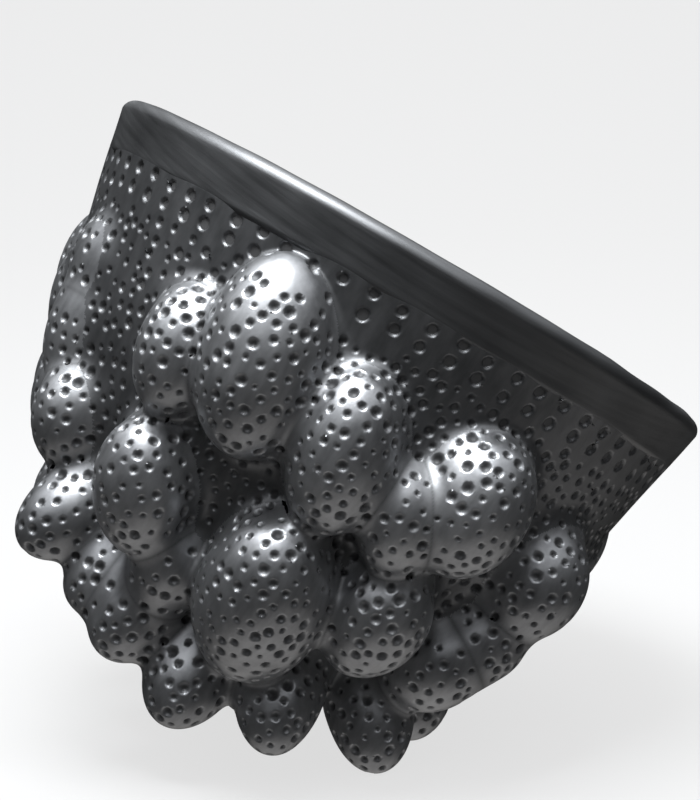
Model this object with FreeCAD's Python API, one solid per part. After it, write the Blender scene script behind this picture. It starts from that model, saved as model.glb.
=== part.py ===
import FreeCAD, Part
import math
import os

from FreeCAD import Vector

os.makedirs("parts", exist_ok=True)

# A black clay bowl covered in rounded hollow bosses, lying over on three of them.
# It is made upright first: the pot axis is Z, the rim plane is Z = 0 and depth is
# measured down from it. At the end everything is leant over and set on the floor.

# ---- driving dimensions, mm and degrees ----
rim_radius = 130.0          # outside of the rim at its lip
neck_depth = 55.0           # where the straight upper wall runs into the round bowl
bowl_radius = 121.0         # round bowl, half width
bowl_half_depth = 155.0     # round bowl, half height
bowl_centre_depth = 20.0    # centre of the round bowl below the rim plane
wall_thickness = 7.0
rim_thickness = 10.0        # the lip is thicker than the wall
rim_band_depth = 20.0       # plain burnished band under the lip
upper_seam_depth = 72.0     # coil joint between the upper and the lower wall
base_seam_depth = 128.0     # coil joint between the lower wall and the base dish
boss_thickness = 6.0        # clay skin of each hollow boss
lean_angle = 32.0           # mouth axis tipped from the vertical
lean_heading = 20.0         # direction of the tip, from +X towards +Y
standing_gap = 17.0         # lowest point of the bowl above the floor
foot_wear = 0.5             # how deep the standing bosses are rubbed flat
tip_flat = 1.0              # radius of the tiny flat where a turned body closes on its axis
drawn_depth = 175.0         # depth of the bowl that the boss depths below are laid out on

# name: heading round the axis, depth of its seat, half width, half length (the longer), how
# far its centre stands off the wall, slant of its long axis, turn of that axis outwards
bosses = {
    "shoulder_boss_1": (256, 60, 24, 38, 2, 12, 6),
    "shoulder_boss_2": (241, 74, 16, 24, 3, 8, 4),
    "shoulder_boss_3": (276, 75, 20, 31, 4, 12, 4),
    "shoulder_boss_4": (301, 69, 22, 28, 4, 8, 4),
    "shoulder_boss_5": (291, 86, 15, 21, 6, 25, 4),
    "shoulder_boss_6": (328, 83, 20, 24, 4, 10, 4),
    "shoulder_boss_7": (206, 92, 15, 24, -4, 0, 0),
    "shoulder_boss_8": (205, 64, 16, 22, -9, 0, 0),
    "middle_boss_1": (278, 131, 25, 37, 9, 12, 0),
    "middle_boss_2": (244, 119, 19, 27, 8, 12, 0),
    "middle_boss_3": (301, 118, 19, 26, 9, 10, 0),
    "middle_boss_4": (326, 123, 18, 22, 9, 0, 0),
    "middle_boss_5": (329, 108, 17, 19, 8, 0, 0),
    "middle_boss_6": (213, 116, 15, 20, 3, 0, 0),
    "lower_boss_1": (247, 155, 19, 28, 6, 0, 66),
    "lower_boss_2": (232, 152, 16, 23, 5, 0, 70),
    "lower_boss_3": (219, 140, 17, 26, 7, 0, 75),
    "lower_boss_4": (254, 142, 14, 20, 6, 0, 0),
    "lower_boss_5": (353, 138, 15, 22, 6, 0, 60),
    "base_boss_1": (274, 162, 19, 32, 8, 0, 90),
    "base_boss_2": (301, 154, 18, 33, 7, 0, 90),
}
# the three bosses that reach the floor: heading, depth, half width, half length
feet = {
    "foot_boss_front": (330, 146, 18, 32),
    "foot_boss_right": (44, 146, 19, 23),
    "foot_boss_left": (88, 168, 18, 24),
}
# rows round the far side: first heading, last heading, how many, depth, half width,
# half length, stand off
far_rows = {
    "shoulder_boss": (30, 148, 7, 69, 19, 28, 2),
    "middle_boss": (24, 152, 6, 112, 19, 25, 3),
    "lower_boss": (76, 150, 3, 146, 19, 23, 3),
}
far_size_steps = (1.0, 0.88, 1.06, 0.94)     # size of each boss along a far row, in turn
far_depth_steps = (-3.0, 3.0)                # depth shift along a far row, in turn
# shallow swellings at the edges of the far side and under the base
low_bosses = {
    "shoulder_boss_16": (352, 84, 16, 22, -9, 0, 0),
    "shoulder_boss_17": (168, 66, 19, 27, -8, 0, 0),
    "shoulder_boss_18": (188, 82, 15, 22, -10, 0, 0),
    "shoulder_boss_19": (11, 74, 17, 25, -7, 0, 0),
    "middle_boss_13": (2, 112, 16, 21, -5, 0, 0),
    "middle_boss_14": (171, 112, 16, 22, -4, 0, 0),
    "middle_boss_15": (189, 118, 16, 21, -6, 0, 0),
    "lower_boss_9": (12, 140, 17, 20, 3, 0, 0),
    "lower_boss_10": (187, 148, 16, 20, 0, 0, 0),
    "base_boss_3": (20, 170, 16, 19, 2, 0, 0),
    "base_boss_4": (190, 171, 16, 19, 3, 0, 0),
}


def ellipse_radius(depth, half_width, half_depth):
    drop = (depth - bowl_centre_depth) / half_depth
    return half_width * math.sqrt(max(0.0, 1.0 - drop * drop))


def wall_radius(depth):
    neck_radius = ellipse_radius(neck_depth, bowl_radius, bowl_half_depth)
    if depth < neck_depth:
        return rim_radius + (neck_radius - rim_radius) * depth / neck_depth
    return ellipse_radius(depth, bowl_radius, bowl_half_depth)


def wall_seat(heading, depth):
    """Point on the outside of the wall, with its down, sideways and outward directions."""
    depth = depth * (bowl_centre_depth + bowl_half_depth) / drawn_depth
    step = 0.01
    slope = (wall_radius(depth + step) - wall_radius(depth - step)) / (2 * step)
    turn = math.radians(heading)
    outward = Vector(math.cos(turn), math.sin(turn), 0)
    sideways = Vector(-math.sin(turn), math.cos(turn), 0)
    seat = outward * wall_radius(depth) - Vector(0, 0, depth)
    downward = (outward * slope - Vector(0, 0, 1)).normalize()
    normal = sideways.cross(downward).normalize()
    if normal.dot(outward) < 0:
        normal = normal * -1
    return seat, downward, sideways, normal


def half_bowl_arc(half_width, half_depth):
    """Outline of the round bowl, from a small flat at the bottom up to the neck."""
    centre = Vector(0, 0, -bowl_centre_depth)
    curve = Part.Ellipse(centre + Vector(0, 0, -half_depth), centre + Vector(half_width, 0, 0), centre)
    neck_turn = math.acos((neck_depth - bowl_centre_depth) / half_depth)
    arc = Part.Arc(curve, math.asin(tip_flat / half_width), neck_turn)
    return arc.toShape(), curve.value(neck_turn), arc.value(arc.FirstParameter)


def turned_solid(edges):
    """A body of revolution about Z, made of two half turns so that every face has real edges."""
    wire = Part.Wire(Part.__sortEdges__(edges))
    half = Part.Face(wire).revolve(Vector(0, 0, 0), Vector(0, 0, 1), 180)
    other_half = half.copy()
    other_half.rotate(Vector(0, 0, 0), Vector(0, 0, 1), 180)
    return half.fuse(other_half).Solids[0]


def line(start, end):
    return Part.LineSegment(start, end).toShape()


def bowl_envelope():
    """The whole outside of the bowl as one filled body, closed at the rim plane."""
    arc, neck, bottom = half_bowl_arc(bowl_radius, bowl_half_depth)
    centre = Vector(0, 0, 0)
    rim = Vector(rim_radius, 0, 0)
    pole = Vector(0, 0, bottom.z)
    return turned_solid([line(centre, rim), line(rim, neck), arc, line(bottom, pole),
                         line(pole, centre)])


def bowl_hollow():
    """The inside of the bowl as one filled body, open through the rim plane."""
    arc, neck, bottom = half_bowl_arc(bowl_radius - wall_thickness, bowl_half_depth - wall_thickness)
    above = 1.0
    band = Vector(wall_radius(rim_band_depth) - wall_thickness, 0, -rim_band_depth)
    top = band + Vector(0, 0, rim_band_depth + above)
    centre = Vector(0, 0, above)
    pole = Vector(0, 0, bottom.z)
    return turned_solid([line(centre, top), line(top, band), line(band, neck), arc,
                         line(bottom, pole), line(pole, centre)])


def slab(top_depth, bottom_depth):
    reach = 2 * rim_radius
    return Part.makeCylinder(reach, bottom_depth - top_depth, Vector(0, 0, -bottom_depth))


def rim_band():
    """The plain band under the mouth, with a full round lip on top."""
    lip_depth = rim_thickness / 2
    outer_lip = Vector(wall_radius(lip_depth), 0, -lip_depth)
    inner_lip = outer_lip - Vector(rim_thickness, 0, 0)
    lip_top = (outer_lip + inner_lip) / 2 + Vector(0, 0, lip_depth)
    outer_foot = Vector(wall_radius(rim_band_depth), 0, -rim_band_depth)
    inner_foot = outer_foot - Vector(wall_thickness, 0, 0)
    lip = Part.Arc(outer_lip, lip_top, inner_lip).toShape()
    return turned_solid([line(outer_foot, outer_lip), lip, line(inner_lip, inner_foot),
                         line(inner_foot, outer_foot)])


def spheroid(centre, axis, half_width, half_length):
    """A long round body turned about its axis, with a tiny flat at each tip."""
    curve = Part.Ellipse(Vector(0, 0, half_length), Vector(half_width, 0, 0), Vector(0, 0, 0))
    tip_turn = math.asin(tip_flat / half_width)
    arc = Part.Arc(curve, tip_turn, math.pi - tip_turn)
    top, bottom = arc.value(tip_turn), arc.value(math.pi - tip_turn)
    top_middle, bottom_middle = Vector(0, 0, top.z), Vector(0, 0, bottom.z)
    body = turned_solid([line(top_middle, top), arc.toShape(), line(bottom, bottom_middle),
                         line(bottom_middle, top_middle)])
    body.Placement = FreeCAD.Placement(centre, FreeCAD.Rotation(Vector(0, 0, 1), axis))
    return body


def long_axis(downward, sideways, normal, slant, turn_out):
    slant, turn_out = math.radians(slant), math.radians(turn_out)
    along = downward * math.cos(slant) + sideways * math.sin(slant)
    return along * math.cos(turn_out) + normal * math.sin(turn_out)


def reach_towards(direction, axis, half_width, half_length):
    """How far a round body reaches from its centre in a direction."""
    lengthways = axis.dot(direction)
    return math.sqrt(half_width ** 2 * (1 - lengthways ** 2) + half_length ** 2 * lengthways ** 2)


# the mouth axis tips over, and the rim's own X direction stays square to the view along +Y
tip, tip_heading = math.radians(lean_angle), math.radians(lean_heading)
mouth_axis = Vector(math.sin(tip) * math.cos(tip_heading), math.sin(tip) * math.sin(tip_heading),
                    math.cos(tip))
rim_x = (Vector(1, 0, 0) - mouth_axis * mouth_axis.x).normalize()
rim_y = mouth_axis.cross(rim_x)
stance = FreeCAD.Rotation(rim_x, rim_y, mouth_axis, "ZXY")
floor_direction = stance.inverted().multVec(Vector(0, 0, -1))
bowl_centre = Vector(0, 0, -bowl_centre_depth)
sideways_part = math.hypot(floor_direction.x, floor_direction.y)
bowl_reach = math.hypot(bowl_radius * sideways_part, bowl_half_depth * floor_direction.z)
floor_distance = bowl_reach + standing_gap


def boss_place(heading, depth, half_width, half_length, stand_off, slant, turn_out):
    seat, downward, sideways, normal = wall_seat(heading, depth)
    axis = long_axis(downward, sideways, normal, slant, turn_out)
    return seat + normal * stand_off, axis, half_width, half_length


def foot_place(heading, depth, half_width, half_length):
    """A boss whose stand-off is worked out so that it just reaches below the floor."""
    seat, downward, sideways, normal = wall_seat(heading, depth)
    reach = reach_towards(floor_direction, normal, half_width, half_length)
    gap = floor_distance + foot_wear - (seat - bowl_centre).dot(floor_direction) - reach
    return seat + normal * (gap / normal.dot(floor_direction)), normal, half_width, half_length


def all_places():
    places = {name: foot_place(*row) for name, row in feet.items()}
    places.update({name: boss_place(*row) for name, row in bosses.items()})
    for row_name, (first, last, count, depth, half_width, half_length, stand_off) in far_rows.items():
        placed = sum(1 for name in bosses if name.startswith(row_name))
        for number in range(count):
            heading = first + (last - first) * number / (count - 1)
            size = far_size_steps[number % len(far_size_steps)]
            shift = far_depth_steps[number % len(far_depth_steps)]
            places[f"{row_name}_{placed + number + 1}"] = boss_place(
                heading, depth + shift, half_width * size, half_length * size, stand_off, 0, 0)
    places.update({name: boss_place(*row) for name, row in low_bosses.items()})
    return places


def largest_solid(shape):
    return max(shape.Solids, key=lambda solid: solid.Volume)


def radius_along(direction, place):
    """Half width of a round body through its centre, in a direction."""
    centre, axis, half_width, half_length = place
    lengthways = axis.dot(direction)
    return 1 / math.sqrt((1 - lengthways ** 2) / half_width ** 2 + lengthways ** 2 / half_length ** 2)


def beyond_crease(place, neighbour):
    """Everything past the flat crease where two bosses meet, or None where they are apart."""
    across = neighbour[0] - place[0]
    distance = across.Length
    direction = across / distance
    own, other = radius_along(direction, place), radius_along(direction, neighbour)
    if distance > own + other:
        return None
    crease = (distance ** 2 + own ** 2 - other ** 2) / (2 * distance)
    side = 2 * rim_radius
    block = Part.makeBox(side, side, side, Vector(-side / 2, -side / 2, 0))
    block.Placement = FreeCAD.Placement(place[0] + direction * crease,
                                        FreeCAD.Rotation(Vector(0, 0, 1), direction))
    return block


def boss_solids(envelope):
    """Hollow domes luted to the wall, each stopping at its crease with the next one."""
    places = all_places()
    solids = {}
    for name, place in places.items():
        centre, axis, half_width, half_length = place
        dome = largest_solid(spheroid(*place).cut(envelope))
        for other, neighbour in places.items():
            block = None if other == name else beyond_crease(place, neighbour)
            if block:
                dome = largest_solid(dome.cut(block))
        hollow = spheroid(centre, axis, half_width - boss_thickness, half_length - boss_thickness)
        solids[name] = largest_solid(dome.cut(hollow))
    return solids


def wall_solids(envelope):
    wall = envelope.cut(bowl_hollow())
    pole_depth = bowl_centre_depth + bowl_half_depth
    bands = {
        "upper_wall": (rim_band_depth, upper_seam_depth),
        "lower_wall": (upper_seam_depth, base_seam_depth),
        "base_dish": (base_seam_depth, pole_depth + 1),
    }
    solids = {"rim_band": largest_solid(rim_band())}
    solids.update({name: largest_solid(wall.common(slab(*ends))) for name, ends in bands.items()})
    return solids


def set_on_floor(solids):
    """Leans the pot over, rubs its feet flat and puts the middle of its box at the origin."""
    lift = Vector(0, 0, floor_distance) - stance.multVec(bowl_centre)
    for shape in solids.values():
        shape.Placement = FreeCAD.Placement(lift, stance).multiply(shape.Placement)
    side = 4 * rim_radius
    ground = Part.makeBox(side, side, side, Vector(-side / 2, -side / 2, -side))
    for name in feet:
        solids[name] = largest_solid(solids[name].cut(ground))
    box = Part.makeCompound(list(solids.values())).optimalBoundingBox(False, False)
    centring = Vector(-(box.XMin + box.XMax) / 2, -(box.YMin + box.YMax) / 2, 0)
    for shape in solids.values():
        shape.translate(centring)
    print("box", round(box.XLength, 2), round(box.YLength, 2), round(box.ZLength, 2),
          "lowest", round(box.ZMin, 3))
    return solids


envelope = bowl_envelope()
solids = wall_solids(envelope)
solids.update(boss_solids(envelope))
for name, solid in set_on_floor(solids).items():
    if not (solid.isValid() and len(solid.Solids) == 1):
        print("check", name, solid.isValid(), len(solid.Solids))
    solid.exportStep(f"parts/{name}.step")
print(len(solids), "pieces")
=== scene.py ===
import math

import bmesh
import bpy
import numpy as np
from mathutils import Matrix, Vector


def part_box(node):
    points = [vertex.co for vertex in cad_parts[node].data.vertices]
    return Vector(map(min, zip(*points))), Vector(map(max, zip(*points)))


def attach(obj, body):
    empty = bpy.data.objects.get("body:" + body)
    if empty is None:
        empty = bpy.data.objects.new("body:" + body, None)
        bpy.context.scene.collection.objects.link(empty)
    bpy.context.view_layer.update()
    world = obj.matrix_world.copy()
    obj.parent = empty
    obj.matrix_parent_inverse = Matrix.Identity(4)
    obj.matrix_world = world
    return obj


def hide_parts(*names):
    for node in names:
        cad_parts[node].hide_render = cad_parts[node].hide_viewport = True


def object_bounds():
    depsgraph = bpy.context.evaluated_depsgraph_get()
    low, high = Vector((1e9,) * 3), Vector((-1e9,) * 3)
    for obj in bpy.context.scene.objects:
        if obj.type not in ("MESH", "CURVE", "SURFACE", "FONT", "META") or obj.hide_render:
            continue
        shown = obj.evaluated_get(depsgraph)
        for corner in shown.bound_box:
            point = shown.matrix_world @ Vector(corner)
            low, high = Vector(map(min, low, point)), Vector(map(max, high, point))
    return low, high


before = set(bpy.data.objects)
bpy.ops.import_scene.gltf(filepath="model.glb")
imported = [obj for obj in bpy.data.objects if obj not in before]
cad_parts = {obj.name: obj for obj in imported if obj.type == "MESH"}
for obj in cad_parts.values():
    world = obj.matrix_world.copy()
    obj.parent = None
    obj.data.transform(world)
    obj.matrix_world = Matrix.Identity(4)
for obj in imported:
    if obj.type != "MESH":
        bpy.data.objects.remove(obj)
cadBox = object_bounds()
print("frame loaded with", len(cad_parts), "nodes")

# The pot is shaped upright in millimetres: its axis is Z, the rim plane is Z = 0 and
# depth is measured down from it. placeOnFloor leans it over and turns it into metres.

bowl = {
    "rimRadius": 130.0,
    "neckDepth": 55.0,          # the straight upper wall runs into the round bowl here
    "radius": 121.0,
    "halfDepth": 155.0,
    "centreDepth": 20.0,
    "wall": 7.0,
    "bandDepth": 20.0,
    "upperSeam": 72.0,
    "baseSeam": 128.0,
    "roughStep": 1.5,           # first, coarse skin
    "meshStep": 0.66,           # spacing of the finished skin's points
    "quickStep": 1.2,
    "seamBlend": 6.0,           # half the depth over which straight wall turns into round bowl
    "tuckUnderBand": 2.2,       # the skin goes this far up behind the band's foot
    "rootDepth": 3.5,           # how far inside the wall's face a boss's clay reaches
}

# heading round the axis, depth, half width, half length, how far the centre stands off
# the wall, slant of the long axis, turn of that axis outwards
bossRows = {
    "shoulder_boss_1": (256, 60, 24, 38, 2, 12, 6),
    "shoulder_boss_2": (241, 74, 16, 24, 3, 8, 4),
    "shoulder_boss_3": (276, 75, 20, 31, 4, 12, 4),
    "shoulder_boss_4": (301, 69, 22, 28, 4, 8, 4),
    "shoulder_boss_5": (291, 86, 15, 21, 6, 25, 4),
    "shoulder_boss_6": (328, 83, 20, 24, 4, 10, 4),
    "shoulder_boss_7": (206, 92, 15, 24, -4, 0, 0),
    "shoulder_boss_8": (205, 64, 16, 22, -9, 0, 0),
    "middle_boss_1": (278, 131, 25, 37, 9, 12, 0),
    "middle_boss_2": (244, 119, 19, 27, 8, 12, 0),
    "middle_boss_3": (301, 118, 19, 26, 9, 10, 0),
    "middle_boss_4": (326, 123, 18, 22, 9, 0, 0),
    "middle_boss_5": (329, 108, 17, 19, 8, 0, 0),
    "middle_boss_6": (213, 116, 15, 20, 3, 0, 0),
    "lower_boss_1": (247, 155, 19, 28, 6, 0, 66),
    "lower_boss_2": (232, 152, 16, 23, 5, 0, 70),
    "lower_boss_3": (219, 140, 17, 26, 7, 0, 75),
    "lower_boss_4": (254, 142, 14, 20, 6, 0, 0),
    "lower_boss_5": (353, 138, 15, 22, 6, 0, 60),
    "base_boss_1": (274, 162, 19, 32, 8, 0, 90),
    "base_boss_2": (301, 154, 18, 33, 7, 0, 90),
    "shoulder_boss_16": (352, 84, 16, 22, -9, 0, 0),
    "shoulder_boss_17": (168, 66, 19, 27, -8, 0, 0),
    "shoulder_boss_18": (188, 82, 15, 22, -10, 0, 0),
    "shoulder_boss_19": (11, 74, 17, 25, -7, 0, 0),
    "middle_boss_13": (2, 112, 16, 21, -5, 0, 0),
    "middle_boss_14": (171, 112, 16, 22, -4, 0, 0),
    "middle_boss_15": (189, 118, 16, 21, -6, 0, 0),
    "lower_boss_9": (12, 140, 17, 20, 3, 0, 0),
    "lower_boss_10": (187, 148, 16, 20, 0, 0, 0),
    "base_boss_3": (20, 170, 16, 19, 2, 0, 0),
    "base_boss_4": (190, 171, 16, 19, 3, 0, 0),
}
# rows round the far side: first heading, last heading, how many, depth, half width,
# half length, stand off
farRows = {
    "shoulder_boss": (30, 148, 7, 69, 19, 28, 2, 9),
    "middle_boss": (24, 152, 6, 112, 19, 25, 3, 7),
    "lower_boss": (76, 150, 3, 146, 19, 23, 3, 6),
}
farSizes = (1.0, 0.88, 1.06, 0.94)
farShifts = (-3.0, 3.0)
# the three bosses that reach the floor: heading, depth, half width, half length
footRows = {
    "foot_boss_front": (330, 146, 18, 32),
    "foot_boss_right": (44, 146, 19, 23),
    "foot_boss_left": (88, 168, 18, 24),
}
stance = {"lean": 32.0, "leanHeading": 20.0, "gap": 17.0, "footWear": 0.5}

joins = {
    "creaseSoftness": 7.0,      # how far a crease between two bosses is filled
    "lowSoftness": 8.0,         # under a boss, where it meets the wall
    "topSoftness": 13.0,        # above a boss, where the wall swells into it
    "handWaviness": 0.45,       # uneven pressing by hand, only ever inwards
    "reach": 24.0,              # a boss shapes the skin this far beyond its half length
    "farAway": 60.0,            # distance given to points that no boss is near
    "blendWidth": 2.0,          # how quickly one boss's softness gives way to the next one's
    "underBand": 44.0,          # the softness comes in over this much depth below the band
    "softHeights": (-0.4, 0.7),  # shares of a boss's half length between which softness changes
    "leastSoftness": 0.5,
    "bandPinch": 0.2,           # how steeply the skin is drawn in behind the band's foot
    "wallMargin": 1.5,          # pits on the wall keep this much nearer to a boss's foot
}


def unit(vector):
    return vector / np.linalg.norm(vector)


def wallRadius(depth):
    neck = bowl["neckDepth"]
    neckRadius = bowl["radius"] * math.sqrt(1 - ((neck - bowl["centreDepth"]) / bowl["halfDepth"]) ** 2)
    if depth < neck:
        return bowl["rimRadius"] + (neckRadius - bowl["rimRadius"]) * depth / neck
    fall = (depth - bowl["centreDepth"]) / bowl["halfDepth"]
    return bowl["radius"] * math.sqrt(max(0.0, 1 - fall * fall))


def wallSeat(heading, depth):
    slope = (wallRadius(depth + 0.01) - wallRadius(depth - 0.01)) / 0.02
    turn = math.radians(heading)
    outward = np.array((math.cos(turn), math.sin(turn), 0.0))
    sideways = np.array((-math.sin(turn), math.cos(turn), 0.0))
    seat = outward * wallRadius(depth) - np.array((0, 0, depth))
    downward = unit(outward * slope - np.array((0, 0, 1.0)))
    normal = unit(np.cross(sideways, downward))
    if normal @ outward < 0:
        normal = -normal
    return seat, downward, sideways, normal


def placeBoss(heading, depth, halfWidth, halfLength, standOff, slant, turnOut):
    seat, downward, sideways, normal = wallSeat(heading, depth)
    slant, turnOut = math.radians(slant), math.radians(turnOut)
    along = downward * math.cos(slant) + sideways * math.sin(slant)
    axis = along * math.cos(turnOut) + normal * math.sin(turnOut)
    return {"centre": seat + normal * standOff, "axis": axis, "halfWidth": halfWidth,
            "halfLength": halfLength, "down": downward, "root": seat - normal * bowl["rootDepth"]}


# the mouth axis tips over, and the rim's own X direction stays square to the view along +Y
tip, tipHeading = math.radians(stance["lean"]), math.radians(stance["leanHeading"])
mouthAxis = np.array((math.sin(tip) * math.cos(tipHeading), math.sin(tip) * math.sin(tipHeading),
                      math.cos(tip)))
rimX = unit(np.array((1.0, 0, 0)) - mouthAxis * mouthAxis[0])
rimY = np.cross(mouthAxis, rimX)
lean = np.column_stack((rimX, rimY, mouthAxis))
floorWay = lean.T @ np.array((0, 0, -1.0))
bowlCentre = np.array((0, 0, -bowl["centreDepth"]))
floorDistance = stance["gap"] + math.hypot(bowl["radius"] * math.hypot(floorWay[0], floorWay[1]),
                                           bowl["halfDepth"] * floorWay[2])


def placeFoot(heading, depth, halfWidth, halfLength):
    seat, downward, sideways, normal = wallSeat(heading, depth)
    lengthways = normal @ floorWay
    reach = math.sqrt(halfWidth ** 2 * (1 - lengthways ** 2) + halfLength ** 2 * lengthways ** 2)
    gap = floorDistance + stance["footWear"] - (seat - bowlCentre) @ floorWay - reach
    return {"centre": seat + normal * gap / lengthways, "axis": normal, "halfWidth": halfWidth,
            "halfLength": halfLength, "down": downward, "root": seat - normal * bowl["rootDepth"]}


bosses = {name: placeBoss(*row) for name, row in bossRows.items()}
bosses.update({name: placeFoot(*row) for name, row in footRows.items()})
for rowName, row in farRows.items():
    first, last, count, depth, halfWidth, halfLength, standOff, firstNumber = row
    for number in range(count):
        heading = first + (last - first) * number / (count - 1)
        size = farSizes[number % len(farSizes)]
        bosses[f"{rowName}_{firstNumber + number}"] = placeBoss(
            heading, depth + farShifts[number % len(farShifts)], halfWidth * size, halfLength * size,
            standOff, 0, 0)
bossNames = list(bosses)
print("placed", len(bossNames), "bosses")

# the plan of the whole pot is centred on the CAD box, which is centred on the origin
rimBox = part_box("rim_band")
rimMiddle = Vector(rimBox[0] + rimBox[1]) / 2
lift = np.array((0, 0, floorDistance)) - lean @ bowlCentre


def leanOver(points):
    return points @ lean.T + lift


def bandProfile(steps=40):
    # the plain band with its full round lip, from the outer foot over the lip to the inner foot
    lipDepth = 5.0
    outerLip = np.array((wallRadius(lipDepth), -lipDepth))
    outerFoot = np.array((wallRadius(bowl["bandDepth"]), -bowl["bandDepth"]))
    tucked = np.array((wallRadius(bowl["bandDepth"] + 2) - 0.5, -bowl["bandDepth"] - 2))
    innerFoot = outerFoot - np.array((bowl["wall"], 0))
    centre = outerLip - np.array((lipDepth, 0))
    outer = [outerFoot + (outerLip - outerFoot) * i / 12 for i in range(12)]
    arc = [centre + lipDepth * np.array((math.cos(a), math.sin(a)))
           for a in np.linspace(0, math.pi, steps)]
    innerLip = centre - np.array((lipDepth, 0))
    inner = [innerLip + (innerFoot - innerLip) * i / 12 for i in range(1, 13)]
    return np.array([tucked] + outer + arc + inner)


def ringPoints(profile, segments):
    turns = np.arange(segments) * 2 * math.pi / segments
    r, z = profile[:, 0][:, None], profile[:, 1][:, None]
    rings = np.stack((r * np.cos(turns), r * np.sin(turns), np.repeat(z, segments, 1)), -1)
    return rings.reshape(-1, 3)


centring = np.zeros(3)
bandOnFloor = leanOver(ringPoints(bandProfile(), 360))
centring[:2] = (np.array(rimMiddle)[:2] * 1000
                - (bandOnFloor.min(0) + bandOnFloor.max(0))[:2] / 2)
print("centring in mm", centring.round(3))


def placeOnFloor(points):
    placed = (leanOver(points) + centring) * 0.001
    low, high = np.array(cadBox[0]), np.array(cadBox[1])
    return np.clip(placed, low, high)


def smoothStep(low, high, value):
    t = np.clip((value - low) / (high - low), 0, 1)
    return t * t * (3 - 2 * t)


def waves(points):
    # a gentle unevenness between 0 and 1, made of a few crossing swells
    swells = ((0.105, 0.031, 0.058, 0.4), (-0.043, 0.117, 0.071, 1.9), (0.067, -0.083, 0.131, 3.1),
              (0.163, 0.127, -0.047, 4.4), (-0.191, 0.059, 0.153, 5.2), (0.071, 0.211, 0.119, 0.9))
    total = sum(np.sin(points @ np.array(s[:3]) + s[3]) for s in swells)
    return np.clip(0.5 + total / 7, 0, 1)


def wallField(points):
    # signed distance to the outside of the plain bowl, and its gradient
    across = points[:, :2]
    z = points[:, 2] + bowl["centreDepth"]
    a, b = bowl["radius"], bowl["halfDepth"]
    square = (across ** 2).sum(1)
    k0 = np.sqrt(square / a ** 2 + z ** 2 / b ** 2)
    k1 = np.sqrt(square / a ** 4 + z ** 2 / b ** 4) + 1e-9
    roundValue = k0 * (k0 - 1) / k1
    roundSlope = np.column_stack((across / a ** 2, z / b ** 2)) / k1[:, None]
    fall = (bowl["rimRadius"] - wallRadius(bowl["neckDepth"])) / bowl["neckDepth"]
    tilt = 1 / math.sqrt(1 + fall ** 2)
    r = np.sqrt(square) + 1e-9
    neckValue = (r - bowl["rimRadius"] - fall * points[:, 2]) * tilt
    neckSlope = np.column_stack((across / r[:, None], np.full(len(r), -fall))) * tilt
    mix = smoothStep(bowl["neckDepth"] - bowl["seamBlend"],
                     bowl["neckDepth"] + bowl["seamBlend"], -points[:, 2])
    return (neckValue + (roundValue - neckValue) * mix,
            neckSlope + (roundSlope - neckSlope) * mix[:, None])


def bossField(offset, boss):
    axis, w, l = boss["axis"], boss["halfWidth"], boss["halfLength"]
    along = offset @ axis
    square = (offset ** 2).sum(1) - along ** 2
    k0 = np.sqrt(square / w ** 2 + along ** 2 / l ** 2)
    k1 = np.sqrt(square / w ** 4 + along ** 2 / l ** 4) + 1e-9
    slope = (offset / w ** 2 + np.outer(along * (1 / l ** 2 - 1 / w ** 2), axis)) / k1[:, None]
    return k0 * (k0 - 1) / k1, slope


def softLeast(value, slope, other, otherSlope, softness):
    # the smaller of two distances, with the corner between them filled
    share = np.clip(1 - np.abs(value - other) / softness, 0, None)
    weight = np.where(value < other, share / 2, 1 - share / 2)[:, None]
    return (np.minimum(value, other) - share ** 2 * softness / 4,
            slope + (otherSlope - slope) * weight)


def nearBosses(points):
    # for each boss, which points lie close enough to be shaped by it
    found = []
    for boss in bosses.values():
        square = ((points - boss["centre"]) ** 2).sum(1)
        found.append(np.nonzero(square < (boss["halfLength"] + joins["reach"]) ** 2)[0])
    return found


def potField(points, nearby):
    # distance to the whole bossed outside, its gradient, the nearest boss, and how near a crease is
    count = len(points)
    depth = -points[:, 2]
    underBand = smoothStep(bowl["bandDepth"], bowl["bandDepth"] + joins["underBand"], depth)
    raised = np.full(count, joins["farAway"])
    raisedSlope = np.zeros((count, 3))
    least, second = raised.copy(), raised.copy()
    nearest = np.full(count, -1)
    softWeight = np.full(count, 1e-6)
    softSum = softWeight * joins["lowSoftness"]
    for number, name in enumerate(bossNames):
        boss, near = bosses[name], nearby[number]
        offset = points[near] - boss["centre"]
        value, slope = bossField(offset, boss)
        height = -(offset @ boss["down"]) / boss["halfLength"]
        rise = smoothStep(*joins["softHeights"], height)
        soft = joins["lowSoftness"] + (joins["topSoftness"] - joins["lowSoftness"]) * rise
        weight = np.exp(-np.clip(value, -20, joins["farAway"]) / joins["blendWidth"])
        softSum[near] += soft * weight
        softWeight[near] += weight
        raised[near], raisedSlope[near] = softLeast(raised[near], raisedSlope[near], value, slope,
                                                    joins["creaseSoftness"])
        before = least[near]
        second[near] = np.where(value < before, before, np.minimum(second[near], value))
        nearest[near] = np.where(value < before, number, nearest[near])
        least[near] = np.minimum(before, value)
    wall, wallSlope = wallField(points)
    nearest = np.where(wall < least, -1, nearest)
    between = np.where(wall < least, joins["farAway"], second - least)
    apart = np.minimum(np.abs(least - wall) + joins["wallMargin"], between)
    value, slope = softLeast(wall, wallSlope, raised, raisedSlope,
                             softSum / softWeight * underBand + joins["leastSoftness"])
    aboveFloor = floorDistance - (points - bowlCentre) @ floorWay
    value = value + joins["handWaviness"] * waves(points) * smoothStep(2, 18, aboveFloor)
    value = value + joins["bandPinch"] * np.clip(bowl["bandDepth"] + points[:, 2], 0, None)
    return value, slope, nearest, apart


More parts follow.
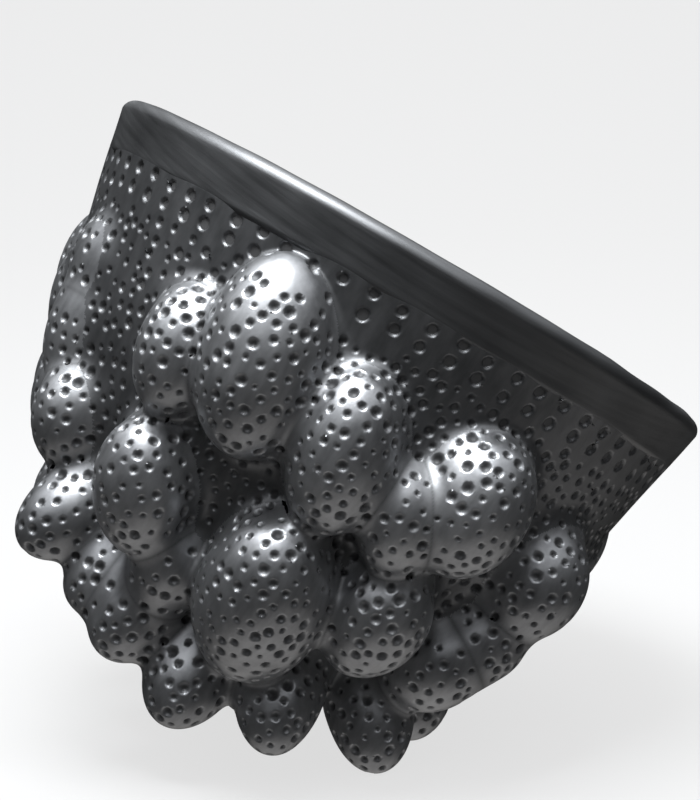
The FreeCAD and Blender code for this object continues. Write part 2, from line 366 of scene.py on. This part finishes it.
def turnedMesh(profile, segments, closed):
    # rings of faces round Z; an open profile starts and ends on the axis
    rows = len(profile)
    points = ringPoints(profile, segments)
    step = np.arange(segments)
    following = (step + 1) % segments
    faces = []
    for row in range(rows if closed else rows - 1):
        a, b = row * segments, ((row + 1) % rows) * segments
        faces.append(np.column_stack((a + step, a + following, b + following, b + step)))
    faces = np.concatenate(faces)
    return points, faces


def newObject(name, points, faces):
    mesh = bpy.data.meshes.new(name)
    mesh.from_pydata(points, [], faces)
    made = bpy.data.objects.new(name, mesh)
    bpy.context.collection.objects.link(made)
    return made


def plainMesh(source):
    # the evaluated result as a plain mesh, with the working object removed
    graph = bpy.context.evaluated_depsgraph_get()
    mesh = bpy.data.meshes.new_from_object(source.evaluated_get(graph))
    bpy.data.objects.remove(source)
    return mesh


# the outer skin: bowl and bosses in one, remeshed evenly and drawn onto the soft shape
rough = {"segments": 160, "axisRadius": 0.01, "bossSubdivisions": 5, "mergeDistance": 0.05,
         "slide": 0.6, "longestStep": 1.6, "flattestSlope": 0.4}


def roughSkin():
    shape = bmesh.new()
    poleDepth = bowl["centreDepth"] + bowl["halfDepth"]
    depths = np.concatenate((np.linspace(0, bowl["neckDepth"], 12),
                             np.linspace(bowl["neckDepth"] + 5, poleDepth - 0.1, 48)))
    wall = [(wallRadius(d), -d) for d in depths]
    profile = np.array([(rough["axisRadius"], 0.0)] + wall + [(rough["axisRadius"], -poleDepth)])
    points, faces = turnedMesh(profile, rough["segments"], False)
    corners = [shape.verts.new(p) for p in points]
    for face in faces:
        shape.faces.new([corners[i] for i in face])
    bmesh.ops.remove_doubles(shape, verts=shape.verts, dist=rough["mergeDistance"])
    bmesh.ops.holes_fill(shape, edges=shape.edges)
    for boss in bosses.values():
        made = bmesh.ops.create_icosphere(shape, subdivisions=rough["bossSubdivisions"],
                                          radius=1.0)["verts"]
        turn = Vector((0, 0, 1)).rotation_difference(Vector(boss["axis"]))
        for corner in made:
            size = Vector((corner.co.x * boss["halfWidth"], corner.co.y * boss["halfWidth"],
                           corner.co.z * boss["halfLength"]))
            corner.co = turn @ size + Vector(boss["centre"])
    bmesh.ops.recalc_face_normals(shape, faces=shape.faces)
    mesh = bpy.data.meshes.new("roughSkin")
    shape.to_mesh(mesh)
    shape.free()
    made = bpy.data.objects.new("roughSkin", mesh)
    bpy.context.collection.objects.link(made)
    return made


def remeshed(made, step):
    remesh = made.modifiers.new("even", "REMESH")
    remesh.mode = "VOXEL"
    remesh.voxel_size = step
    return readMesh(plainMesh(made))


def readMesh(mesh):
    points = np.empty(len(mesh.vertices) * 3)
    mesh.vertices.foreach_get("co", points)
    corners = np.empty(len(mesh.loops), dtype=np.int32)
    mesh.loops.foreach_get("vertex_index", corners)
    return points.reshape(-1, 3), corners.reshape(-1, 4)


def evenOut(points, nearby, links, rounds):
    # slides points along the surface towards the middle of their neighbours, then back onto it
    a, b = links[:, 0], links[:, 1]
    degree = np.bincount(a, minlength=len(points)) + np.bincount(b, minlength=len(points))
    for _ in range(rounds):
        middle = np.column_stack([
            np.bincount(a, points[b, k], len(points)) + np.bincount(b, points[a, k], len(points))
            for k in range(3)]) / np.maximum(degree, 1)[:, None]
        points = points + (middle - points) * rough["slide"]
        points = ontoShape(points, nearby, 1)
    return points


def ontoShape(points, nearby, rounds):
    for _ in range(rounds):
        value, slope, _, _ = potField(points, nearby)
        step = value / np.maximum((slope ** 2).sum(1), rough["flattestSlope"])
        points = points - slope * np.clip(step, -rough["longestStep"], rough["longestStep"])[:, None]
    return points


# a coarse skin goes first, so that the creases are already filled when the fine one is made
points, faces = remeshed(roughSkin(), bowl["roughStep"])
points = ontoShape(points, nearBosses(points), 5)
points, faces = remeshed(newObject("filledSkin", points, faces),
                         bowl["meshStep"])
kept = points[faces][:, :, 2].max(1) < -(bowl["bandDepth"] - bowl["tuckUnderBand"])
faces = faces[kept]
used = np.unique(faces)
renumber = np.full(len(points), -1)
renumber[used] = np.arange(len(used))
points, faces = points[used], renumber[faces]
print("outer skin has", len(points), "points")

edges = np.concatenate((faces[:, [0, 1]], faces[:, [1, 2]], faces[:, [2, 3]], faces[:, [3, 0]]))
edges = np.unique(np.sort(edges, axis=1), axis=0)
nearby = nearBosses(points)
points = ontoShape(points, nearby, 3)
points = evenOut(points, nearby, edges, 4)
points = ontoShape(points, nearby, 1)
_, _, nearest, apart = potField(points, nearby)
owner = nearest[faces[:, 0]]
skin = newObject("skin", points, faces)
skin.data.polygons.foreach_set("use_smooth", np.ones(len(faces), dtype=bool))
# how near a crease between bosses is; the clay finish paints creases darker with this, as painted shade
creaseWidth = 1.8
creaseOf = np.exp(-np.clip(apart, 0, 30) / creaseWidth)
skin.data.attributes.new("crease", "FLOAT", "POINT").data.foreach_set("value", creaseOf)
strewnFrom, clearOfCrease = (35, 37), (0.6, 2.2)
roomForPits = smoothStep(*strewnFrom, -points[:, 2]) * smoothStep(*clearOfCrease, apart)
skin.data.attributes.new("roomForPits", "FLOAT", "POINT").data.foreach_set("value", roomForPits)
print("outer skin drawn onto its shape")


class Wire:
    # one socket, on which sums are written as plain expressions
    def __init__(self, graph, socket):
        self.graph = graph
        self.socket = socket

    def maths(self, operation, first, second=None):
        values = {0: first} if second is None else {0: first, 1: second}
        return self.graph.add("ShaderNodeMath", {"operation": operation}, values)

    def __add__(self, other):
        return self.maths("ADD", self, other)

    __radd__ = __add__

    def __sub__(self, other):
        return self.maths("SUBTRACT", self, other)

    def __rsub__(self, other):
        return self.maths("SUBTRACT", other, self)

    def __mul__(self, other):
        return self.maths("MULTIPLY", self, other)

    __rmul__ = __mul__

    def __truediv__(self, other):
        return self.maths("DIVIDE", self, other)

    def __pow__(self, other):
        return self.maths("POWER", self, other)

    def __abs__(self):
        return self.maths("ABSOLUTE", self)

    def __lt__(self, other):
        return self.maths("LESS_THAN", self, other)

    def least(self, other):
        return self.maths("MINIMUM", self, other)

    def most(self, other):
        return self.maths("MAXIMUM", self, other)

    def out(self, name):
        return Wire(self.graph, self.socket.node.outputs[name])


class Graph:
    def __init__(self, tree):
        self.tree = tree

    def add(self, kind, settings=None, values=None):
        node = self.tree.nodes.new(kind)
        for name, value in (settings or {}).items():
            if name == "stops":
                stops = node.color_ramp.elements
                for place, (position, colour) in enumerate(value):
                    stop = stops[place] if place < 2 else stops.new(position)
                    stop.position = position
                    stop.color = colour
            else:
                setattr(node, name, value)
        for name, value in (values or {}).items():
            socket = node.inputs[name]
            if isinstance(value, list):
                for each in value:
                    self.tree.links.new(each.socket, socket)
            elif isinstance(value, Wire):
                self.tree.links.new(value.socket, socket)
            else:
                socket.default_value = value
        shown = [socket for socket in node.outputs if socket.enabled]
        return Wire(self, shown[0]) if shown else None


pits = {
    "Rows": 2,
    "Pits In A Row": 66,
    "First Depth": 24.0,
    "Row Step": 7.6,
    "Row Radius": 2.7,
    "Closest Spacing": 4.9,
    "Smallest Radius": 1.15,
    "Largest Radius": 2.3,
    "Pit Depth": 0.72,          # share of the pit's radius
    "Crisp Edge": 0.3,          # points this near a pit's edge are pulled onto it
    "Seed": 11,
}


def pitTree(clay):
    tree = bpy.data.node_groups.new("pressedPits", "GeometryNodeTree")
    tree.interface.new_socket("Geometry", in_out="INPUT", socket_type="NodeSocketGeometry")
    for name, value in pits.items():
        kind = "NodeSocketInt" if isinstance(value, int) else "NodeSocketFloat"
        tree.interface.new_socket(name, in_out="INPUT", socket_type=kind)
    tree.interface.new_socket("Geometry", in_out="OUTPUT", socket_type="NodeSocketGeometry")
    g = Graph(tree)
    given = g.add("NodeGroupInput")
    size = {name: given.out(name) for name in pits}
    skinIn = given.out("Geometry")

    # rows under the band, laid out on rings and then set down on the skin
    index = g.add("GeometryNodeInputIndex")
    row = g.add("ShaderNodeMath", {"operation": "FLOOR"}, {0: index / size["Pits In A Row"]})
    turn = (index / size["Pits In A Row"] + row * 0.5) * (2 * math.pi)
    wander = g.add("FunctionNodeRandomValue", {"data_type": "FLOAT_VECTOR"},
                   {0: (-0.9, -0.9, -0.7), 1: (0.9, 0.9, 0.7), "Seed": size["Seed"]})
    ringRadius = 126.0
    ring = g.add("ShaderNodeCombineXYZ", {}, {
        "X": g.add("ShaderNodeMath", {"operation": "COSINE"}, {0: turn}) * ringRadius,
        "Y": g.add("ShaderNodeMath", {"operation": "SINE"}, {0: turn}) * ringRadius,
        "Z": 0.0 - size["First Depth"] - row * size["Row Step"]})
    place = g.add("ShaderNodeVectorMath", {"operation": "ADD"}, {0: ring, 1: wander})
    rowPoints = g.add("GeometryNodePoints", {}, {"Count": size["Rows"] * size["Pits In A Row"],
                                                 "Position": place})
    onSkin = g.add("GeometryNodeProximity", {"target_element": "FACES"}, {0: skinIn})
    rowPoints = g.add("GeometryNodeSetPosition", {},
                      {"Geometry": rowPoints, "Position": onSkin.out("Position")})
    rowRadius = g.add("FunctionNodeRandomValue", {"data_type": "FLOAT"},
                      {2: 0.88, 3: 1.06, "Seed": size["Seed"] + 1.0})
    rowPoints = g.add("GeometryNodeStoreNamedAttribute", {"data_type": "FLOAT", "domain": "POINT"},
                      {"Geometry": rowPoints, "Name": "pitRadius",
                       "Value": rowRadius * size["Row Radius"]})

    # the rest are strewn evenly over everything below
    room = g.add("GeometryNodeInputNamedAttribute", {"data_type": "FLOAT"}, {"Name": "roomForPits"})
    strewn = g.add("GeometryNodeDistributePointsOnFaces", {"distribute_method": "POISSON"},
                   {"Mesh": skinIn, "Distance Min": size["Closest Spacing"], "Density Max": 0.2,
                    "Density Factor": room, "Seed": size["Seed"]})
    strewnRadius = g.add("FunctionNodeRandomValue", {"data_type": "FLOAT"},
                         {2: size["Smallest Radius"], 3: size["Largest Radius"], "Seed": size["Seed"]})
    strewn = g.add("GeometryNodeStoreNamedAttribute", {"data_type": "FLOAT", "domain": "POINT"},
                   {"Geometry": strewn, "Name": "pitRadius", "Value": strewnRadius})
    allPits = g.add("GeometryNodeJoinGeometry", {}, {"Geometry": [rowPoints, strewn]})

    # each point of the skin looks up its nearest pit and is pressed in by it
    position = g.add("GeometryNodeInputPosition")
    nearest = g.add("GeometryNodeSampleNearest", {"domain": "POINT"},
                    {"Geometry": allPits, "Sample Position": position})
    radiusHere = g.add("GeometryNodeInputNamedAttribute", {"data_type": "FLOAT"}, {"Name": "pitRadius"})
    radius = g.add("GeometryNodeSampleIndex", {"data_type": "FLOAT", "domain": "POINT"},
                   {"Geometry": allPits, "Value": radiusHere, "Index": nearest})
    middle = g.add("GeometryNodeSampleIndex", {"data_type": "FLOAT_VECTOR", "domain": "POINT"},
                   {"Geometry": allPits, "Value": position, "Index": nearest})
    away = g.add("ShaderNodeVectorMath", {"operation": "SUBTRACT"}, {0: position, 1: middle})
    distance = g.add("ShaderNodeVectorMath", {"operation": "LENGTH"}, {0: away}).out("Value")
    onEdge = abs(distance - radius) < size["Crisp Edge"]
    edgeShift = onEdge * (radius / distance.most(0.2) - 1.0)
    hollow = (1.0 - (distance / radius).least(1.0) ** 2.4) * (1.0 - onEdge)
    normal = g.add("GeometryNodeInputNormal")
    depthIn = g.add("ShaderNodeVectorMath", {"operation": "SCALE"},
                    {0: normal, "Scale": 0.0 - hollow * radius * size["Pit Depth"]})
    sideways = g.add("ShaderNodeVectorMath", {"operation": "SCALE"}, {0: away, "Scale": edgeShift})
    shift = g.add("ShaderNodeVectorMath", {"operation": "ADD"}, {0: depthIn, 1: sideways})
    # the pit share is kept on the skin; the clay finish paints pits darker with it, as painted shade
    marked = g.add("GeometryNodeStoreNamedAttribute", {"data_type": "FLOAT", "domain": "POINT"},
                   {"Geometry": skinIn, "Name": "pit", "Value": hollow})
    pressed = g.add("GeometryNodeSetPosition", {}, {"Geometry": marked, "Offset": shift})
    real = g.add("GeometryNodeRealizeInstances", {}, {"Geometry": pressed})
    finished = g.add("GeometryNodeSetMaterial", {}, {"Geometry": real, "Material": clay})
    g.add("NodeGroupOutput", {}, {"Geometry": finished})
    return tree


def clayMaterial(name, look):
    material = bpy.data.materials.new(name)
    material.use_nodes = True
    material.node_tree.nodes.clear()
    g = Graph(material.node_tree)
    place = g.add("ShaderNodeTexCoord").out("Object")
    turned = g.add("ShaderNodeMapping", {}, {
        "Vector": place,
        "Rotation": (0, -math.radians(stance["lean"]), -math.radians(stance["leanHeading"]))})
    stretched = g.add("ShaderNodeMapping", {}, {"Vector": turned, "Scale": look["strokeStretch"]})
    strokes = g.add("ShaderNodeTexNoise", {}, {"Vector": stretched, "Scale": look["strokeScale"],
                                               "Detail": 4.0, "Roughness": 0.55})
    clouds = g.add("ShaderNodeTexNoise", {}, {"Vector": place, "Scale": look["cloudScale"],
                                              "Detail": 3.0, "Roughness": 0.5})
    grain = g.add("ShaderNodeTexNoise", {}, {"Vector": place, "Scale": look["grainScale"],
                                             "Detail": 2.0, "Roughness": 0.6})
    pit = g.add("ShaderNodeAttribute", {"attribute_name": "pit"}).out("Fac")
    crease = g.add("ShaderNodeAttribute", {"attribute_name": "crease"}).out("Fac")
    # pits and creases are painted darker, towards a near-black tone: painted shade in these hollows,
    # together with a rougher, less metallic unburnished finish there
    dullAndShade = pit.least(1.0) * look["pitDullsAndShades"] + crease * look["creaseDullsAndShades"]
    dullAndShade = dullAndShade.least(1.0)
    tone = strokes * 0.5 + clouds * 0.5
    colour = g.add("ShaderNodeValToRGB", {"stops": [(0.3, look["darkTone"]), (0.7, look["lightTone"])]},
                   {"Fac": tone})
    colour = g.add("ShaderNodeMix", {"data_type": "RGBA"},
                   {"Factor": dullAndShade, 6: colour, 7: look["paintedShadeTone"]}).out(2)
    roughness = (look["roughness"] + (strokes - 0.5) * look["strokeRoughness"]
                 + (clouds - 0.5) * look["cloudRoughness"] + dullAndShade * look["dullRoughness"])
    metallic = look["metallic"] * (1.0 - dullAndShade * look["dullMetallic"])
    height = strokes * look["strokeHeight"] + grain * look["grainHeight"] + clouds * look["cloudHeight"]
    bump = g.add("ShaderNodeBump", {}, {"Strength": look["bump"], "Distance": 0.001, "Height": height})
    shader = g.add("ShaderNodeBsdfPrincipled", {}, {
        "Base Color": colour, "Roughness": roughness, "Metallic": metallic, "Normal": bump,
        "Specular IOR Level": look["specular"]})
    g.add("ShaderNodeOutputMaterial", {}, {"Surface": shader})
    return material


bossLook = {
    "strokeStretch": (1.0, 1.0, 0.35), "strokeScale": 260.0, "cloudScale": 28.0, "grainScale": 900.0,
    "darkTone": (0.14, 0.143, 0.149, 1), "lightTone": (0.28, 0.284, 0.292, 1),
    # the near-black tone and the two shares below paint shade into pits and creases
    "paintedShadeTone": (0.02, 0.02, 0.021, 1), "pitDullsAndShades": 0.9, "creaseDullsAndShades": 0.75,
    "roughness": 0.36, "strokeRoughness": 0.12, "cloudRoughness": 0.14, "dullRoughness": 0.25,
    "metallic": 0.85, "dullMetallic": 0.35, "strokeHeight": 0.12, "grainHeight": 0.05,
    "cloudHeight": 0.3, "bump": 0.35, "specular": 0.5,
}
wallLook = dict(bossLook, darkTone=(0.075, 0.077, 0.08, 1), lightTone=(0.15, 0.152, 0.157, 1),
                roughness=0.36)
bandLook = dict(bossLook, strokeStretch=(0.35, 0.35, 6.0), strokeScale=60.0,
                darkTone=(0.055, 0.056, 0.058, 1), lightTone=(0.105, 0.107, 0.11, 1),
                roughness=0.42, strokeRoughness=0.2, strokeHeight=0.25, pitDullsAndShades=0.0, creaseDullsAndShades=0.0)
insideLook = dict(bossLook, strokeStretch=(0.5, 0.5, 3.0), strokeScale=45.0,
                  darkTone=(0.035, 0.035, 0.036, 1), lightTone=(0.06, 0.06, 0.061, 1),
                  roughness=0.6, metallic=0.4, pitDullsAndShades=0.0, creaseDullsAndShades=0.0)
bossClay = clayMaterial("burnishedBossClay", bossLook)
wallClay = clayMaterial("burnishedWallClay", wallLook)
bandClay = clayMaterial("smoothBandClay", bandLook)
insideClay = clayMaterial("smokedInsideClay", insideLook)
print("clay finishes ready")

pressing = skin.modifiers.new("pits", "NODES")
pressing.node_group = pitTree(bossClay)
for item in pressing.node_group.interface.items_tree:
    if item.item_type == "SOCKET" and item.in_out == "INPUT" and item.name in pits:
        pressing[item.identifier] = pits[item.name]
pitted = plainMesh(skin)
points, faces = readMesh(pitted)
normals = np.empty(len(points) * 3)
pitted.vertex_normals.foreach_get("vector", normals)
normals = normals.reshape(-1, 3)
pitOf = np.empty(len(points))
pitted.attributes["pit"].data.foreach_get("value", pitOf)
print("pits pressed, deepest share", round(float(pitOf.max()), 2))


# the skin is parted into one closed piece for each lump of clay
def finish(name, points, faces, materials,
           materialOf=None, normals=None, pitOf=None, creaseOf=None):
    made = newObject(name + "_clay", placeOnFloor(points), faces)
    mesh = made.data
    for material in materials:
        mesh.materials.append(material)
    mesh.polygons.foreach_set("use_smooth", np.ones(len(faces), dtype=bool))
    if materialOf is not None:
        mesh.polygons.foreach_set("material_index", np.asarray(materialOf, dtype=np.int32))
    if pitOf is not None:
        mesh.attributes.new("pit", "FLOAT", "POINT").data.foreach_set("value", pitOf)
        mesh.attributes.new("crease", "FLOAT", "POINT").data.foreach_set("value", creaseOf)
    if normals is not None:
        mesh.normals_split_custom_set_from_vertices((normals @ lean.T).tolist())
    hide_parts(name)
    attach(made, "root")
    return made


def openEdges(faces):
    # the directed edges of a patch that no other face of it uses
    pairs = np.concatenate([faces[:, [k, (k + 1) % 4]] for k in range(4)])
    size = int(faces.max()) + 1
    forward = pairs[:, 0].astype(np.int64) * size + pairs[:, 1]
    backward = pairs[:, 1].astype(np.int64) * size + pairs[:, 0]
    return pairs[~np.isin(forward, backward)]


def patch(wanted):
    chosen = faces[wanted]
    used = np.unique(chosen)
    renumber = np.zeros(len(points), dtype=np.int64)
    renumber[used] = np.arange(len(used))
    return used, renumber[chosen]


depthOf = -points[faces][:, :, 2].mean(1)
triangles = 0
for number, name in enumerate(bossNames):
    used, chosen = patch(owner == number)
    edge = openEdges(chosen)
    root = len(used)
    fan = np.column_stack((edge[:, 1], edge[:, 0], np.full(len(edge), root)))
    body = np.vstack((points[used], bosses[name]["root"]))
    allFaces = chosen.tolist() + fan.tolist()
    towards = np.vstack((normals[used], unit(body[-1] - bosses[name]["centre"] + 1e-6)))
    finish(name, body, allFaces, [bossClay], None, towards,
           np.append(pitOf[used], 0), np.append(creaseOf[used], 1))
    triangles += 2 * len(chosen) + len(fan)
print("bosses parted,", triangles, "triangles")


def insideRadius(depth):
    neck, wall = bowl["neckDepth"], bowl["wall"]
    deep = bowl["halfDepth"] - wall
    neckRadius = (bowl["radius"] - wall) * math.sqrt(1 - ((neck - bowl["centreDepth"]) / deep) ** 2)
    if depth < neck:
        top = wallRadius(bowl["bandDepth"]) - wall
        share = (depth - bowl["bandDepth"]) / (neck - bowl["bandDepth"])
        return top + (neckRadius - top) * share
    fall = (depth - bowl["centreDepth"]) / deep
    return (bowl["radius"] - wall) * math.sqrt(max(0.0, 1 - fall * fall))


backing = {"segments": 300, "behind": 1.3, "skinThickness": 1.8, "rowStep": 2.5,
           "poleRadius": 0.05, "leastRadius": 0.6, "outerPole": 1.4, "innerPole": 7.05}
bands = {
    "upper_wall": (bowl["bandDepth"], bowl["upperSeam"]),
    "lower_wall": (bowl["upperSeam"], bowl["baseSeam"]),
    "base_dish": (bowl["baseSeam"], math.inf),
}
for name, (top, bottom) in bands.items():
    skinTop = 0 if name == "upper_wall" else top
    used, chosen = patch((owner < 0) & (depthOf >= skinTop) & (depthOf < bottom))
    edge = openEdges(chosen)
    count = len(used)
    back = points[used] - normals[used] * backing["skinThickness"]
    sides = np.column_stack((edge[:, 1], edge[:, 0], edge[:, 0] + count, edge[:, 1] + count))
    skinFaces = np.concatenate((chosen, chosen[:, ::-1] + count, sides))
    # the backing behind the skin, whose inner face is the inside of the pot
    poleDepth = bowl["centreDepth"] + bowl["halfDepth"]
    if bottom > poleDepth:
        outerDepths = np.append(np.arange(top, poleDepth - 3, backing["rowStep"]),
                                poleDepth - backing["outerPole"])
        innerDepths = np.append(np.arange(top, poleDepth - 10, backing["rowStep"]),
                                poleDepth - backing["innerPole"])
    else:
        rows = int((bottom - top) / backing["rowStep"])
        outerDepths = np.linspace(top, bottom, rows)
        innerDepths = outerDepths
    outer = [(max(backing["leastRadius"], wallRadius(d) - backing["behind"]), -d) for d in outerDepths]
    inner = [(max(backing["leastRadius"], insideRadius(d)), -d) for d in innerDepths]
    segments = backing["segments"]
    if bottom > poleDepth:
        outer += [(backing["poleRadius"], outer[-1][1])]
        inner += [(backing["poleRadius"], inner[-1][1])]
    profile = np.array(outer + inner[::-1])
    ring, ringFaceList = turnedMesh(profile, segments, True)
    ringFaceList = ringFaceList[:, ::-1] + 2 * count
    body = np.vstack((points[used], back, ring))
    allFaces = np.concatenate((skinFaces, ringFaceList))
    outerRun = np.gradient(np.array(outer), axis=0)
    innerRun = np.gradient(np.array(inner[::-1]), axis=0)
    run = np.vstack((outerRun, innerRun))
    outward2d = np.column_stack((-run[:, 1], run[:, 0]))
    outward2d = outward2d / np.maximum(np.linalg.norm(outward2d, axis=1), 1e-9)[:, None]
    turns = np.tile(np.arange(segments) * 2 * math.pi / segments, len(profile))
    spread = np.repeat(outward2d, segments, 0)
    flow = np.column_stack((spread[:, 0] * np.cos(turns), spread[:, 0] * np.sin(turns), spread[:, 1]))
    towards = np.vstack((normals[used], -normals[used], flow))
    extra = len(body) - count
    materialOf = np.concatenate((np.zeros(len(skinFaces)), np.ones(len(ringFaceList))))
    finish(name, body, allFaces.tolist(), [wallClay, insideClay], materialOf, towards,
           np.concatenate((pitOf[used], np.zeros(extra))),
           np.concatenate((creaseOf[used], np.zeros(extra))))
    triangles += 2 * len(allFaces)
print("wall bands parted,", triangles, "triangles in all")

# the plain band with its lip
band = {"segments": 720, "lipSteps": 28, "middleInset": 5.0, "middleDrop": 6.0}
profile = bandProfile(band["lipSteps"])
ring, ringFaceList = turnedMesh(profile, band["segments"], True)
sag = waves(ring)[:, None] * joins["handWaviness"]
middleLine = np.column_stack((ring[:, :2] / np.linalg.norm(ring[:, :2], axis=1)[:, None]
                              * (wallRadius(0) - band["middleInset"]),
                              np.minimum(ring[:, 2], -band["middleDrop"])))
inward = middleLine - ring
ring = ring + inward / np.maximum(np.linalg.norm(inward, axis=1), 1)[:, None] * sag
finish("rim_band", ring, ringFaceList.tolist(), [bandClay])
print("rim band made")

# floor, backdrop, light and camera
rimCentre = Vector(placeOnFloor(np.zeros((1, 3)))[0])
stage = {"floorTone": (0.07, 0.07, 0.07, 1), "ownGlow": (0.7, 0.7, 0.7, 1),
         "reach": 4.0, "height": 4.0, "curveStart": 1.1, "curveRadius": 0.9}


def studioSweep():
    reach, start, radius = stage["reach"], stage["curveStart"], stage["curveRadius"]
    line = [(-reach, 0.0), (start, 0.0)]
    line += [(start + radius * math.sin(a), radius - radius * math.cos(a))
             for a in np.linspace(0, math.pi / 2, 24)[1:]]
    line += [(start + radius, stage["height"])]
    corners = [(side, y, z) for y, z in line for side in (-reach, reach)]
    quads = [(2 * i, 2 * i + 1, 2 * i + 3, 2 * i + 2) for i in range(len(line) - 1)]
    sweep = newObject("studioSweep", corners, quads)
    sweep.data.polygons.foreach_set("use_smooth", np.ones(len(quads), dtype=bool))
    paper = bpy.data.materials.new("palePaper")
    paper.use_nodes = True
    sockets = paper.node_tree.nodes["Principled BSDF"].inputs
    sockets["Base Color"].default_value = stage["floorTone"]
    sockets["Roughness"].default_value = 0.9
    sockets["Emission Color"].default_value = stage["ownGlow"]
    sockets["Emission Strength"].default_value = 1.0
    sweep.data.materials.append(paper)
    sweep.visible_glossy = False


def areaLight(name, place, target, size, power, colour):
    lamp = bpy.data.lights.new(name, "AREA")
    lamp.shape = "RECTANGLE"
    lamp.size, lamp.size_y = size
    lamp.energy = power
    lamp.color = colour
    made = bpy.data.objects.new(name, lamp)
    made.location = place
    made.rotation_euler = (Vector(target) - Vector(place)).to_track_quat("-Z", "Y").to_euler()
    bpy.context.collection.objects.link(made)


studioSweep()
middle = (0.0, 0.0, 0.12)
areaLight("overheadSoftbox", (-0.15, -0.2, 1.1), middle, (0.7, 0.55), 34.0, (0.95, 0.98, 1.0))
areaLight("backdropLight", (0.0, 0.9, 2.6), (0.0, 1.9, 0.4), (3.0, 0.8), 12.0, (1, 1, 1))

# a soft room: bright overhead, dim all round, and the pale floor's glow from below
world = bpy.data.worlds.new("studioRoom")
bpy.context.scene.world = world
world.use_nodes = True
world.node_tree.nodes.clear()
room = Graph(world.node_tree)
height = room.add("ShaderNodeSeparateXYZ", {}, {"Vector": room.add("ShaderNodeTexCoord")}).out("Z")
glow = room.add("ShaderNodeValToRGB", {"stops": [
    (0.0, (0.34, 0.33, 0.32, 1)), (1.0, (0.95, 0.97, 1.0, 1)), (0.08, (0.3, 0.29, 0.28, 1)),
    (0.22, (0.008, 0.008, 0.008, 1)), (0.7, (0.006, 0.006, 0.006, 1)), (0.83, (0.85, 0.87, 0.9, 1))]},
    {"Fac": height * 0.5 + 0.5})
sky = room.add("ShaderNodeBackground", {}, {"Color": glow, "Strength": 2.0})
room.add("ShaderNodeOutputWorld", {}, {"Surface": sky})

viewing = {"elevation": 12.0, "distance": 1.1, "lens": 126.3, "right": -0.02525, "up": -0.0537}
rise = math.radians(viewing["elevation"])
upward = Vector((0, math.sin(rise), math.cos(rise)))
towardsCamera = Vector((0, -math.cos(rise), math.sin(rise)))
aim = rimCentre + Vector((1, 0, 0)) * viewing["right"] + upward * viewing["up"]
camera = bpy.data.objects.new("camera", bpy.data.cameras.new("camera"))
camera.location = aim + towardsCamera * viewing["distance"]
camera.rotation_euler = (-towardsCamera).to_track_quat("-Z", "Y").to_euler()
camera.data.lens = viewing["lens"]
camera.data.sensor_width = 36.0
bpy.context.collection.objects.link(camera)
bpy.context.scene.camera = camera
bpy.context.scene.view_settings.view_transform = "Standard"
